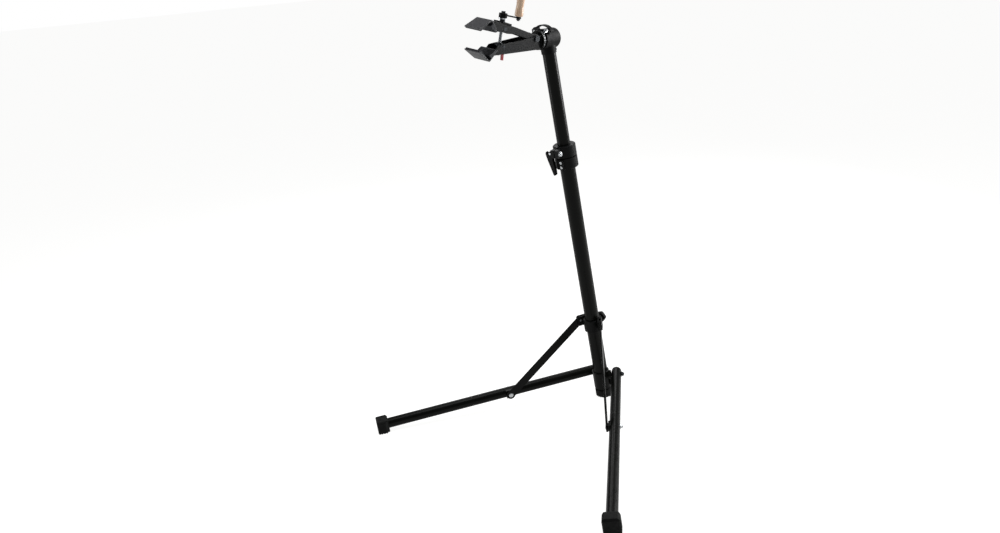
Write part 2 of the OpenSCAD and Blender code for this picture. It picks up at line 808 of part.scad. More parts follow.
module handle_pin() {
    color("#3a3c3e") crank_top() {
        translate([0, 0, -4]) hexagon(9, 4 - seat);
        translate([0, 0, -6]) cylinder(r = 3, h = handle_len + arm_t + 2);
        translate([0, 0, arm_t + seat]) cylinder(r = 6, h = 1.2);
    }
}

// Turned wooden handle: full at both ends, with a waist
module handle() {
    r = handle_d / 2;
    waist = r - 1.8;
    low = arm_t + 1.6;
    color("#b08050") crank_top() translate([0, 0, low]) difference() {
        turned([[0, 0], [r - 3.5, 0], [r - 1, 1.5], [r, 6], [r - 0.4, 14], [waist + 0.3, 26], [waist, 36],
            [waist + 0.3, 48], [r - 0.8, 62], [r - 0.4, 68], [r - 1.5, 74], [r - 4, 78], [r - 8, handle_len],
            [0, handle_len]]);
        translate([0, 0, -1]) cylinder(r = 3 + run, h = handle_len - 3);
    }
}

// ---- sliding collar and knob ----

module slide_collar() {
    low = slide_h - 32;
    wall = 6.2;
    out_r = lower_r + wall;
    ear_top = slide_h + 14;
    ear_low = slide_h - 18;
    ear_out = brace_out + side_gap + 2.6;
    reach = slide_reach + 11;
    color("#242628") mast_frame() difference() {
        union() {
            turned([[0, low], [out_r - 1.5, low], [out_r, low + 1.5], [out_r, low + slide_len - 1.5],
                [out_r - 1.5, low + slide_len], [0, low + slide_len]]);
            for (side = [-1, 1]) mirror([side < 0 ? 1 : 0, 0, 0]) rotate([0, 0, leg_splay])
                plate_yz(brace_in - 5, ear_out) {
                    translate([-reach / 2 - 3, (ear_top + ear_low) / 2])
                        rounded_rect(reach - 6, ear_top - ear_low, 7);
                }
            translate([0, 0, slide_h - 9]) along_y(11, out_r - 4, out_r + 10);
        }
        translate([0, 0, low - overlap]) cylinder(r = lower_r + run, h = slide_len + 20);
        for (side = [-1, 1]) mirror([side < 0 ? 1 : 0, 0, 0]) rotate([0, 0, leg_splay]) {
            translate([brace_in - side_gap, -slide_reach - 60, low - 20])
                cube([brace_t + 2 * side_gap, 60 + brace_w / 2 + 1, 100]);
            translate([0, -slide_reach, slide_h]) along_x(bolt_r + seat, brace_in - 6, ear_out + 5);
        }
        translate([0, 0, slide_h - 9]) along_y(bolt_r + run, lower_r - 2, out_r + 14);
    }
}

module slide_pins() {
    color("#8d9092") for (side = [-1, 1]) leg_frame(side) translate([0, -slide_reach, slide_h])
        along_x(bolt_r, brace_in - 5, brace_out + side_gap + 2.6);
}

module star_knob() {
    lobes = 5;
    start = lower_r + 6.2 + 10.5;
    thick = 12;
    lobe_r = knob_d * 0.2;
    color("#1d1f20") mast_frame() translate([0, 0, slide_h - 9]) {
        along_y(bolt_r, lower_r + 0.8, start + 4);
        translate([0, start, 0]) rotate([-90, 0, 0]) difference() {
            union() {
                cylinder(r = knob_d * 0.36, h = thick);
                for (i = [0:lobes - 1]) rotate([0, 0, i * 360 / lobes])
                    translate([knob_d / 2 - lobe_r, 0, 1]) cylinder(r = lobe_r, h = thick - 2);
            }
            translate([0, 0, thick - 2]) cylinder(r = knob_d * 0.2, h = 4);
        }
    }
}

// ---- legs and braces, one of each per side ----

module leg_tube(side) {
    color("#1c1d1c") leg_axis(side) rotate([90, 0, 0]) difference() {
        ring(leg_r, leg_r - tube_wall, -leg_tail + 6, leg_len - 6);
        rotate([90, 0, 0]) along_x(bolt_r + run, -30, 30);
        translate([0, 0, brace_at]) along_x(bolt_r + seat, -30, 30);
    }
}

// Domed plug in the upper end of a leg
module leg_plug(side) {
    dome = [for (a = [0:15:90]) [leg_r * cos(a), -leg_tail + 6 - 14 * sin(a)]];
    color("#191a1a") leg_axis(side) rotate([90, 0, 0])
        turned(concat([[0, -leg_tail + 14], [leg_r - tube_wall - seat, -leg_tail + 14],
            [leg_r - tube_wall - seat, -leg_tail + 6 - seat]],
            [for (p = dome) p + [0, -seat]]));
}

module leg_foot(side) {
    back = leg_len - pad_len;
    low = foot_axis_h + 8;
    high = leg_r + 6;
    chamfer = 10;
    half = pad_w / 2;
    color("#161717") intersection() {
        leg_axis(side) rotate([90, 0, 0]) difference() {
            intersection() {
                translate([0, (high - low) / 2, back]) linear_extrude(pad_len)
                    rounded_rect(pad_w, high + low, 9);
                plate_xz(-60, 60) polygon([[-half + chamfer, back], [half - chamfer, back],
                    [half, back + chamfer], [half, leg_len - 4], [half - 4, leg_len], [-half + 4, leg_len],
                    [-half, leg_len - 4], [-half, back + chamfer]]);
                plate_yz(-60, 60) polygon([[-60, back], [high - 4, back], [high, back + 6],
                    [high, leg_len - 5], [high - 5, leg_len], [-60, leg_len]]);
            }
            translate([0, 0, back - 1]) cylinder(r = leg_r + seat, h = pad_len - 5 + small);
        }
        translate([-2000, -2000, 0]) cube([4000, 4000, 400]);
    }
}

// Spacer between a leg and its brace, hollowed to sit on the tube
module brace_saddle(side) {
    inner = brace_out + side_gap - leg_off;
    color("#1c1d1c") leg_axis(side) translate([0, -brace_at, 0]) difference() {
        union() {
            along_x(12, inner, -leg_r + 4);
            translate([inner + 2.4, -13, -14]) cube([8, 26, 28]);
        }
        along_y(leg_r + seat, -50, 50);
        along_x(bolt_r + seat, -40, 0);
    }
}

// Through bolt of a leg, with its nut outside
module brace_bolt(side) {
    inner = brace_out + side_gap - leg_off;
    color("#c9ccce") leg_axis(side) translate([0, -brace_at, 0]) {
        along_x(bolt_r, inner + 0.2, leg_r + 8);
        along_x(8, leg_r + seat, leg_r + 1.5);
        translate([leg_r + 1.4, 0, 0]) rotate([0, 90, 0]) hexagon(11, 4.6);
    }
}

module brace(side) {
    eye = brace_w / 2 + 1.5;
    color("#1c1d1c") brace_frame(side) difference() {
        plate_yz(brace_in, brace_out) bar_outline(brace_len, brace_w, eye);
        along_x(bolt_r + run, 0, 60);
        translate([0, -brace_len, 0]) along_x(bolt_r + seat, 0, 60);
    }
}

// Flat bolt head on the inner face of a brace's lower end
module brace_head(side) {
    color("#d8dadb") brace_frame(side) translate([0, -brace_len, 0]) {
        along_x(bolt_r, brace_in - 1, brace_out);
        rotate([0, 90, 0]) translate([0, 0, brace_in - 2.3])
            turned([[0, 0], [5.5, 0], [7.5, 1.4], [7.5, 2.3 - seat], [0, 2.3 - seat]]);
    }
}

lower_tube();
mast_foot();
hub_bracket();
leg_pivot_bolts();
lock_body();
lock_screws();
tube_bush();
lock_skewer();
lock_nut();
lock_lever();
upper_tube();
tube_glide();
head_housing();
neck_screws();
spindle_bushes();
rear_cap();
head_skewer();
head_nut();
head_lever();
spindle();
spindle_nut();
lock_ring();
head_flange();
lower_arm();
lower_jaw_plate();
lower_jaw_pads();
arm_pivot_bolt();
arm_pivot_nut();
upper_arm();
upper_jaw_plate();
upper_jaw_pads();
saddle_plate();
nut_block();
release_lever();
swivel_block();
thrust_washer();
clamp_screw();
crank_hub();
crank_arm();
handle_pin();
handle();
slide_collar();
slide_pins();
star_knob();
leg_tube(-1);  // left_leg_tube
leg_plug(-1);  // left_leg_plug
leg_foot(-1);  // left_leg_foot
brace_saddle(-1);  // left_brace_saddle
brace_bolt(-1);  // left_brace_bolt
brace(-1);  // left_brace
brace_head(-1);  // left_brace_head
leg_tube(1);  // right_leg_tube
leg_plug(1);  // right_leg_plug
leg_foot(1);  // right_leg_foot
brace_saddle(1);  // right_brace_saddle
brace_bolt(1);  // right_brace_bolt
brace(1);  // right_brace
brace_head(1);  // right_brace_head
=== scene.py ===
"""Folding bicycle repair stand: finishes, softened edges, threads, welds and mouldings
built around the stand's fixed frame. Metres, +Z up, -Y forward, +X to the stand's right."""
import json
import math

import bmesh
import bpy
import numpy as np
from mathutils import Matrix, Vector


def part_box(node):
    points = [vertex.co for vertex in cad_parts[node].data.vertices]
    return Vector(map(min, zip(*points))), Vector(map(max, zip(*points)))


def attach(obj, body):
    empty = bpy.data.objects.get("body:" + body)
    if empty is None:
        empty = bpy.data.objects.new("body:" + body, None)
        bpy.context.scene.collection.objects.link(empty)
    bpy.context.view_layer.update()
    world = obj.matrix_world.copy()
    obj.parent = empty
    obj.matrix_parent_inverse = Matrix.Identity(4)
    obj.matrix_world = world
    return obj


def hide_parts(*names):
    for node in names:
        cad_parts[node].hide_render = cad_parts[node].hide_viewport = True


bl_info = {
    "name": "Folding repair stand",
    "version": (1, 0, 0),
    "blender": (4, 5, 0),
    "location": "3D View > Sidebar > Stand",
    "description": "Builds the visible pieces of a folding bicycle repair stand",
    "category": "Add Mesh",
}

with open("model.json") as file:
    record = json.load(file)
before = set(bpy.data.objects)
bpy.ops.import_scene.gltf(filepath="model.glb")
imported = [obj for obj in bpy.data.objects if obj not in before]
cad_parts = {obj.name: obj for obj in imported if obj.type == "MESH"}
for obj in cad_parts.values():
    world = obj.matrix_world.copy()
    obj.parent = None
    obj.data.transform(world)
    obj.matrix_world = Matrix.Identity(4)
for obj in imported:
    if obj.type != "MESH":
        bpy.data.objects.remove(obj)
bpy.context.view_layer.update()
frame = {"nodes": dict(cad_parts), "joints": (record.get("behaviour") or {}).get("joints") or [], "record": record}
NODES = frame["nodes"]
JOINTS = {joint["name"]: joint for joint in frame["joints"]}
SLOT_OF = {part["node"]: part["material_slot"] for part in frame["record"]["subparts"]}
BODY_OF = {name: body for body, names in frame["record"]["behaviour"]["bodies"].items()
           for name in names}
MM = 0.001


def linear(hex_colour):
    """sRGB hex to the linear colour that shaders take."""
    parts = [int(hex_colour[i:i + 2], 16) / 255 for i in (0, 2, 4)]
    return tuple(c / 12.92 if c <= 0.04045 else ((c + 0.055) / 1.055) ** 2.4 for c in parts)


# ---- settings a user may change ----

def colour(name, text, hex_colour):
    return bpy.props.FloatVectorProperty(
        name=name, description=text, subtype="COLOR", size=3, min=0, max=1,
        default=linear(hex_colour))


def length(name, text, millimetres):
    return bpy.props.FloatProperty(
        name=name, description=text, subtype="DISTANCE", unit="LENGTH", precision=5,
        default=millimetres * MM)


def angle(name, text, degrees):
    return bpy.props.FloatProperty(
        name=name, description=text, subtype="ANGLE", unit="ROTATION",
        default=math.radians(degrees))


class StandColours(bpy.types.PropertyGroup):
    coat: colour("Tube coat", "Powder coat on the mast and the legs", "070806")
    arm_coat: colour("Arm coat", "Powder coat on the clamp's arms", "0a0b0c")
    jaw_coat: colour("Jaw coat", "Powder coat on the jaw plates", "1f2024")
    casting: colour("Casting", "Paint on the cast head", "070708")
    nylon: colour("Nylon", "Moulded collars, levers and knob", "0a0b0b")
    rubber: colour("Rubber", "Rubber of the feet", "0a0b0a")
    pad_rubber: colour("Pad rubber", "Rubber of the jaw pads", "2c2d30")
    zinc: colour("Zinc", "Plated nuts, screws and washers", "c3c6c8")
    steel: colour("Steel", "Bare turned steel", "84878a")
    dark_steel: colour("Blackened steel", "Pins and blackened bolts", "2e3032")
    acetal: colour("Acetal", "White bushes", "dddbd2")
    grey_acetal: colour("Grey acetal", "Guide bush and glide", "4a4c4f")
    release: colour("Release lever", "Dyed plastic of the release lever", "8a121d")
    beech: colour("Beech", "Light wood between the pores", "e6c8aa")
    beech_dark: colour("Beech grain", "Darker late wood of the handle", "bd9170")


class StandSizes(bpy.types.PropertyGroup):
    cast_edge: length("Cast edge", "Edge radius of castings and mouldings", 1.2)
    sheet_edge: length("Sheet edge", "Edge radius of cut sheet and bar", 0.5)
    rubber_edge: length("Rubber edge", "Edge radius of rubber mouldings", 1.6)
    bolt_edge: length("Bolt edge", "Edge radius of bolts and nuts", 0.35)
    thread_pitch: length("Thread pitch", "Pitch of the clamp screw", 2.5)
    thread_depth: length("Thread depth", "Depth of the clamp screw's thread", 1.1)
    bead: length("Weld bead", "Radius of the weld beads", 1.5)
    pad_rib: length("Pad rib", "Distance between the jaw pads' ribs", 4.4)
    sole_rib: length("Sole rib", "Distance between the grooves under the feet", 8)


class StageSettings(bpy.types.PropertyGroup):
    azimuth: angle("Azimuth", "Camera's direction round the stand", 44.3201)
    elevation: angle("Elevation", "Camera's height angle", 18.5456)
    roll: angle("Roll", "Camera's roll", -5.5785)
    distance: length("Distance", "Camera to its aim point", 2340.21)
    lens: bpy.props.FloatProperty(name="Lens", description="Focal length on a 36 mm sensor",
                                  unit="CAMERA", default=30.6525)
    floor: colour("Floor", "Pale studio floor", "fbfbfa")


# ---- materials ----

def node(tree, kind, inputs=None, **settings):
    """Adds a shader node with its settings and links."""
    made = tree.nodes.new(kind)
    for key, value in settings.items():
        setattr(made, key, value)
    for socket, value in (inputs or {}).items():
        if isinstance(value, bpy.types.NodeSocket):
            tree.links.new(value, made.inputs[socket])
        else:
            made.inputs[socket].default_value = value
    return made


def place(tree, axis=None, stretch=1.0):
    """Pattern coordinates in metres; with an axis, patterns run along it, longer by stretch."""
    spot = node(tree, "ShaderNodeTexCoord").outputs["Object"]
    if axis is None:
        return spot
    turn = Vector(axis).rotation_difference(Vector((0, 0, 1))).to_euler()
    turned_to = node(tree, "ShaderNodeMapping", {"Vector": spot, "Rotation": turn},
                     vector_type="POINT").outputs["Vector"]
    return node(tree, "ShaderNodeMapping",
                {"Vector": turned_to, "Scale": (1, 1, 1 / stretch)}).outputs["Vector"]


def noise(tree, spot, size, detail=3.0):
    """Cloudy pattern whose blotches are about size metres across."""
    return node(tree, "ShaderNodeTexNoise",
                {"Vector": spot, "Scale": 1 / size, "Detail": detail}).outputs["Fac"]


def spread(tree, value, low, high, out_low, out_high):
    """Stretches low..high of a pattern over out_low..out_high."""
    return node(tree, "ShaderNodeMapRange",
                {"Value": value, "From Min": low, "From Max": high,
                 "To Min": out_low, "To Max": out_high}).outputs["Result"]


def two_tone(tree, fac, dark, light, low=0.35, high=0.65):
    """dark below low of a pattern, light above high."""
    ramp = node(tree, "ShaderNodeValToRGB", {"Fac": fac})
    for stop, at, tint in zip(ramp.color_ramp.elements, (low, high), (dark, light)):
        stop.position = at
        stop.color = (*tint, 1)
    return ramp.outputs["Color"]


def mix_colour(tree, fac, first, second):
    """first where fac is 0, second where it is 1; each is a socket or a plain colour."""
    mixer = node(tree, "ShaderNodeMix", data_type="RGBA", blend_type="MIX")
    # its sockets share their names between numbers, vectors and colours, so they go by place
    factor, colour_a, colour_b = (mixer.inputs[i] for i in (0, 6, 7))
    tree.links.new(fac, factor)
    for socket, tint in ((colour_a, first), (colour_b, second)):
        if isinstance(tint, bpy.types.NodeSocket):
            tree.links.new(tint, socket)
        else:
            socket.default_value = (*tint, 1)
    return mixer.outputs[2]


def surface(name, base, lift, blotch, rough, rough_blotch, bumps, constants, axis=None,
            stretch=1.0):
    """A finish from a blotchy colour, an uneven gloss and one or two bump patterns.
    lift lightens the blotches; bumps are (pattern size, height) in metres."""
    material = bpy.data.materials.new(name)
    material.use_nodes = True
    tree = material.node_tree
    shader = tree.nodes["Principled BSDF"]
    spot = place(tree, axis, stretch)
    lighter = tuple(min(1, c * lift) for c in base)
    tint = two_tone(tree, noise(tree, spot, blotch), base, lighter)
    tree.links.new(tint, shader.inputs["Base Color"])
    gloss = spread(tree, noise(tree, spot, rough_blotch, 2.0), 0.3, 0.7, *rough)
    tree.links.new(gloss, shader.inputs["Roughness"])
    normal = None
    for size, height in bumps:
        settings = {"Height": noise(tree, spot, size, 2.0), "Distance": height, "Strength": 1.0}
        if normal:
            settings["Normal"] = normal
        normal = node(tree, "ShaderNodeBump", settings).outputs["Normal"]
    tree.links.new(normal, shader.inputs["Normal"])
    for socket, value in constants.items():
        shader.inputs[socket].default_value = value
    return material


def beech_wood(name, light, dark, axis):
    """Turned, lacquered beech: long faint growth bands, and short dark flecks that speckle it."""
    material = bpy.data.materials.new(name)
    material.use_nodes = True
    tree = material.node_tree
    shader = tree.nodes["Principled BSDF"]
    long_spot = place(tree, axis, 14)
    fleck_spot = place(tree, axis, 5)
    bands = noise(tree, long_spot, 3.2 * MM, 4.0)
    wood = two_tone(tree, bands, dark, light, 0.34, 0.58)
    flecks = spread(tree, noise(tree, fleck_spot, 0.55 * MM, 1.0), 0.60, 0.70, 0.0, 0.75)
    flecked = mix_colour(tree, flecks, wood, [c * 0.55 for c in dark])
    tree.links.new(flecked, shader.inputs["Base Color"])
    tree.links.new(spread(tree, bands, 0.3, 0.7, 0.42, 0.3), shader.inputs["Roughness"])
    pores = node(tree, "ShaderNodeBump",
                 {"Height": flecks, "Distance": 0.05 * MM, "Strength": 1.0},
                 invert=True).outputs["Normal"]
    tree.links.new(pores, shader.inputs["Normal"])
    shader.inputs["IOR"].default_value = 1.52
    shader.inputs["Coat Weight"].default_value = 0.35
    shader.inputs["Coat Roughness"].default_value = 0.18
    return material


FINISHES = {}


def make_finishes(colours):
    """One material for each of the record's slots, one for the worn jaw pads, and one zinc darkened as painted
    shade for the toothed ring.
    """
    screw_axis = JOINTS["crank_turn"]["axis"]
    # polyester powder coat, satin: a faint orange peel breaks the long reflections on the tubes
    FINISHES["black_tube"] = surface(
        "satin_powder_coat", tuple(colours.coat), 1.35, 60 * MM, (0.26, 0.33), 25 * MM,
        [(2.2 * MM, 0.035 * MM), (0.7 * MM, 0.012 * MM)],
        constants={"IOR": 1.5, "Specular IOR Level": 0.12})
    # the same coat on blasted sheet steel: greyer and drier, so the arms look lighter than tubes
    FINISHES["arm_steel"] = surface(
        "charcoal_powder_coat", tuple(colours.arm_coat), 1.25, 40 * MM, (0.4, 0.5), 18 * MM,
        [(1.8 * MM, 0.04 * MM), (0.6 * MM, 0.015 * MM)],
        constants={"IOR": 1.5, "Specular IOR Level": 0.12})
    FINISHES["jaw_steel"] = surface(
        "grey_powder_coat", tuple(colours.jaw_coat), 1.2, 40 * MM, (0.36, 0.46), 18 * MM,
        [(1.8 * MM, 0.04 * MM), (0.6 * MM, 0.015 * MM)],
        constants={"IOR": 1.5, "Specular IOR Level": 0.5})
    # cast aluminium under textured paint: an even fine pebble
    FINISHES["black_casting"] = surface(
        "textured_casting_paint", tuple(colours.casting), 1.3, 25 * MM, (0.48, 0.6), 9 * MM,
        [(1.6 * MM, 0.08 * MM), (0.6 * MM, 0.04 * MM)],
        constants={"IOR": 1.5, "Specular IOR Level": 0.1})
    # glass-filled nylon, moulded against a spark-eroded tool: dull, with a tight grain
    FINISHES["black_plastic"] = surface(
        "moulded_nylon", tuple(colours.nylon), 1.3, 20 * MM, (0.42, 0.55), 12 * MM,
        [(0.8 * MM, 0.03 * MM)],
        constants={"IOR": 1.53, "Specular IOR Level": 0.1})
    # moulded acetal: smooth and slightly waxy
    FINISHES["grey_plastic"] = surface(
        "grey_acetal", tuple(colours.grey_acetal), 1.1, 15 * MM, (0.35, 0.42), 8 * MM,
        [(0.8 * MM, 0.01 * MM)],
        constants={"IOR": 1.48})
    FINISHES["white_plastic"] = surface(
        "white_acetal", tuple(colours.acetal), 1.05, 15 * MM, (0.32, 0.4), 8 * MM,
        [(0.8 * MM, 0.01 * MM)],
        constants={"IOR": 1.48, "Subsurface Weight": 0.05})
    # moulded rubber: nearly no gloss and a dusty bloom in patches
    FINISHES["black_rubber"] = surface(
        "moulded_rubber", tuple(colours.rubber), 2.2, 14 * MM, (0.62, 0.82), 6 * MM,
        [(1.1 * MM, 0.06 * MM)],
        constants={"IOR": 1.5, "Specular IOR Level": 0.16})
    # the pads' rubber is greyer, worn by the tubes it grips
    FINISHES["pad_rubber"] = surface(
        "worn_pad_rubber", tuple(colours.pad_rubber), 1.5, 9 * MM, (0.6, 0.8), 5 * MM,
        [(1.1 * MM, 0.06 * MM)],
        constants={"IOR": 1.5, "Specular IOR Level": 0.3})
    # bright zinc plate on steel: cool, slightly cloudy reflections
    FINISHES["zinc"] = surface(
        "bright_zinc_plate", tuple(colours.zinc), 1.18, 6 * MM, (0.2, 0.36), 3 * MM,
        [(0.9 * MM, 0.01 * MM)],
        constants={"Metallic": 1.0})
    # the toothed ring sits in shade between the flange and the housing, so its plate is darkened to grey as
    # painted shade
    FINISHES["zinc_painted_shade"] = surface(
        "zinc_plate_painted_shade", tuple(c * 0.22 for c in colours.zinc), 1.5, 5 * MM, (0.34, 0.5), 3 * MM,
        [(0.9 * MM, 0.015 * MM)],
        constants={"Metallic": 1.0})
    # turned steel: rings left by the tool run round the axis
    FINISHES["steel"] = surface(
        "turned_steel", tuple(colours.steel), 1.15, 1.2 * MM, (0.22, 0.34), 0.8 * MM,
        [(0.5 * MM, 0.012 * MM)],
        constants={"Metallic": 1.0}, axis=screw_axis, stretch=0.12)
    # oil-blackened steel: dark and a little mottled
    FINISHES["dark_steel"] = surface(
        "blackened_steel", tuple(colours.dark_steel), 1.6, 5 * MM, (0.3, 0.48), 4 * MM,
        [(0.8 * MM, 0.015 * MM)],
        constants={"Metallic": 1.0})
    # moulded polypropylene, dyed through: a soft even sheen
    FINISHES["red_plastic"] = surface(
        "red_polypropylene", tuple(colours.release), 1.25, 10 * MM, (0.34, 0.44), 6 * MM,
        [(0.8 * MM, 0.015 * MM)],
        constants={"IOR": 1.49})
    FINISHES["wood"] = beech_wood(
        "turned_beech", tuple(colours.beech), tuple(colours.beech_dark), screw_axis)


def coat(obj, slot):
    """Gives an object one finish."""
    obj.data.materials.clear()
    obj.data.materials.append(FINISHES[slot])


# ---- shapes ----

SMOOTH_BELOW = 32  # degrees; a fold sharper than this shows as an edge
ROUND_FROM = 38  # degrees; a node's edge sharper than this is rounded
FLAT_WITHIN = 0.8  # degrees; faces this close in slope become one
SAME_POINT = 2e-6  # metres; points of a node this close become one
NO_LENGTH = 1e-7  # metres; an edge this short is left out of a new skin
AXIS_R = 1e-5  # metres; the smallest ring, where a turned body meets its axis


def piece(name, mesh, body, slot, replaced=()):
    """Makes a visible piece from a mesh, on its body and in its finish."""
    obj = bpy.data.objects.new(name, mesh)
    bpy.context.scene.collection.objects.link(obj)
    coat(obj, slot)
    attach(obj, body)
    if replaced:
        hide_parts(*replaced)
    return obj


def smooth(mesh, sharp=SMOOTH_BELOW):
    """Shades a mesh smooth, apart from folds sharper than sharp degrees."""
    mesh.shade_smooth()
    mesh.set_sharp_from_angle(angle=math.radians(sharp))


def settled(mesh, modifiers):
    """The mesh after a few modifiers, each given as (kind, settings)."""
    holder = bpy.data.objects.new("holder", mesh)
    bpy.context.scene.collection.objects.link(holder)
    for kind, settings in modifiers:
        modifier = holder.modifiers.new(kind, kind)
        for key, value in settings.items():
            setattr(modifier, key, value)
    depsgraph = bpy.context.evaluated_depsgraph_get()
    made = bpy.data.meshes.new_from_object(holder.evaluated_get(depsgraph), depsgraph=depsgraph)
    bpy.data.objects.remove(holder)
    return made


def softened(name, width, segments=2, cutter=None):
    """A node's shape with its sharp edges rounded, standing for the node; cutter is taken away."""
    mesh = bpy.data.meshes.new(name)
    work = bmesh.new()
    work.from_mesh(NODES[name].data)
    bmesh.ops.remove_doubles(work, verts=work.verts, dist=SAME_POINT)
    bmesh.ops.dissolve_limit(work, angle_limit=math.radians(FLAT_WITHIN), verts=work.verts,
                             edges=work.edges, use_dissolve_boundaries=False, delimit=set())
    sharp = math.radians(ROUND_FROM)
    edges = [e for e in work.edges if len(e.link_faces) == 2 and e.calc_face_angle(0) > sharp]
    bmesh.ops.bevel(work, geom=edges, offset=width, offset_type="OFFSET", segments=segments,
                    profile=0.6, affect="EDGES", clamp_overlap=True)
    bmesh.ops.dissolve_degenerate(work, dist=NO_LENGTH, edges=work.edges)
    work.to_mesh(mesh)
    work.free()
    if cutter:
        mesh = settled(mesh, [("BOOLEAN", {"operation": "DIFFERENCE", "object": cutter,
                                           "solver": "EXACT"})])
        bpy.data.objects.remove(cutter)
    smooth(mesh)
    mesh = settled(mesh, [("WEIGHTED_NORMAL", {"keep_sharp": True, "weight": 80})])
    return piece(name + "_soft", mesh, BODY_OF[name], SLOT_OF[name], [name])


def kept(*names):
    """Nodes whose own shape is right, given their finish."""
    for name in names:
        coat(NODES[name], SLOT_OF[name])


def loft(name, rings, sharp=SMOOTH_BELOW, closed=False):
    """A closed skin through rings of points, capped unless the rings close on themselves."""
    count = len(rings[0])
    points = [p for ring in rings for p in ring]
    faces = []
    for k in range(len(rings) - (0 if closed else 1)):
        a, b = k * count, (k + 1) % len(rings) * count
        faces += [(a + i, a + (i + 1) % count, b + (i + 1) % count, b + i)
                  for i in range(count)]
    if not closed:
        faces.append(tuple(reversed(range(count))))
        faces.append(tuple(range((len(rings) - 1) * count, len(rings) * count)))
    mesh = bpy.data.meshes.new(name)
    mesh.from_pydata(points, [], faces)
    work = bmesh.new()
    work.from_mesh(mesh)
    bmesh.ops.remove_doubles(work, verts=work.verts, dist=NO_LENGTH)
    bmesh.ops.recalc_face_normals(work, faces=work.faces)
    work.to_mesh(mesh)
    work.free()
    smooth(mesh, sharp)
    return mesh


def axes(origin, z_axis, x_hint=(1, 0, 0)):
    """A frame at origin whose Z runs along z_axis."""
    z = Vector(z_axis).normalized()
    x = (Vector(x_hint) - z * z.dot(Vector(x_hint))).normalized()
    made = Matrix((x, z.cross(x), z)).transposed().to_4x4()
    made.translation = Vector(origin)
    return made


def joint_axes(name):
    """A frame at a joint whose Z runs along the joint's axis."""
    joint = JOINTS[name]
    return axes(joint["pos_m"], joint["axis"])


def points_of(name):
    """A node's points, as an array."""
    return np.array([v.co for v in NODES[name].data.vertices], float)


def local(name, place_at):
    """A node's points in a frame, as an array."""
    turn = np.array(place_at.inverted())
    return points_of(name) @ turn[:3, :3].T + turn[:3, 3]


def span_of(name, place_at):
    """How far a node reaches along a frame's Z, and its largest radius about it."""
    co = local(name, place_at)
    return co[:, 2].min(), co[:, 2].max(), np.hypot(co[:, 0], co[:, 1]).max()


def ring_at(place_at, radius, z, count=64, wobble=None):
    """A ring of points about a frame's Z; wobble gives a factor on the radius for each angle."""
    made = []
    for i in range(count):
        turn = 2 * math.pi * i / count
        r = radius * (wobble(turn) if wobble else 1)
        made.append(place_at @ Vector((r * math.cos(turn), r * math.sin(turn), z)))
    return made


def turned(name, place_at, outline, count=64, sharp=SMOOTH_BELOW):
    """A turned body from (radius, height) pairs in metres."""
    return loft(name, [ring_at(place_at, max(r, AXIS_R), z, count) for r, z in outline], sharp)


def eased(points, steps=6):
    """A smooth outline through a few (radius, height) pairs."""
    made = []
    ends = [points[0], *points, points[-1]]
    for p0, p1, p2, p3 in zip(ends, ends[1:], ends[2:], ends[3:]):
        for i in range(steps):
            t = i / steps
            made.append(tuple(0.5 * (2 * b + (c - a) * t + (2 * a - 5 * b + 4 * c - d) * t * t
                                     + (3 * b - a - 3 * c + d) * t ** 3)
                              for a, b, c, d in zip(p0, p1, p2, p3)))
    return made + [points[-1]]


def bead_rings(path, radius, closed):
    """Rings of a rippled weld bead along a path of points."""
    path = [Vector(p) for p in path]
    if closed:
        path.append(path[0])
    step, ripple_pitch, ripple_height, sides = 0.55 * MM, 1.9 * MM, 0.14, 10
    thin_end, thicken = 0.35, 0.22
    points = []
    for a, b in zip(path, path[1:]):
        count = max(1, round((b - a).length / step))
        points += [a.lerp(b, i / count) for i in range(count)]
    if not closed:
        points.append(path[-1])
    rings = []
    total = len(points)
    for i, p in enumerate(points):
        before = points[i - 1] if closed or i else p
        after = points[(i + 1) % total] if closed or i < total - 1 else p
        along = (after - before).normalized()
        # each ring starts from the last one's side, so that the bead doesn't twist
        side = side - along * side.dot(along) if rings else along.orthogonal()
        side.normalize()
        ripple = 1 + ripple_height * abs(math.sin(i * step / ripple_pitch * math.pi))
        # an open bead starts and stops thin, and thickens over its first few rings
        taper = 1.0 if closed else min(1.0, thin_end + thicken * min(i, total - 1 - i))
        r = radius * ripple * taper
        across = along.cross(side)
        rings.append([p + side * r * math.cos(t) + across * r * math.sin(t)
                      for t in (2 * math.pi * k / sides for k in range(sides))])
    return rings


def joined(name, meshes):
    """Several meshes as one."""
    work = bmesh.new()
    for mesh in meshes:
        work.from_mesh(mesh)
        bpy.data.meshes.remove(mesh)
    made = bpy.data.meshes.new(name)
    work.to_mesh(made)
    work.free()
    return made


def beads(name, body, slot, paths, radius):
    """Weld beads along (points, closed) paths, as one piece."""
    meshes = [loft(name, bead_rings(points, radius, closed), 60, closed)
              for points, closed in paths]
    return piece(name, joined(name, meshes), body, slot)


def groove_cutter(place_at, width, depth, pitch, reach):
    """A row of bars, for cutting grooves that reach depth above a frame's XY plane."""
    work = bmesh.new()
    count = int(reach / pitch)
    bar_height = 10 * MM
    bar = Matrix.Diagonal((width, 2 * reach, bar_height, 1))
    for i in range(-count, count + 1):
        shift = Matrix.Translation((i * pitch, 0, depth - bar_height / 2)) @ bar
        bmesh.ops.create_cube(work, size=1, matrix=place_at @ shift)
    mesh = bpy.data.meshes.new("grooves")
    work.to_mesh(mesh)
    work.free()
    made = bpy.data.objects.new("grooves", mesh)
    bpy.context.scene.collection.objects.link(made)
    return made


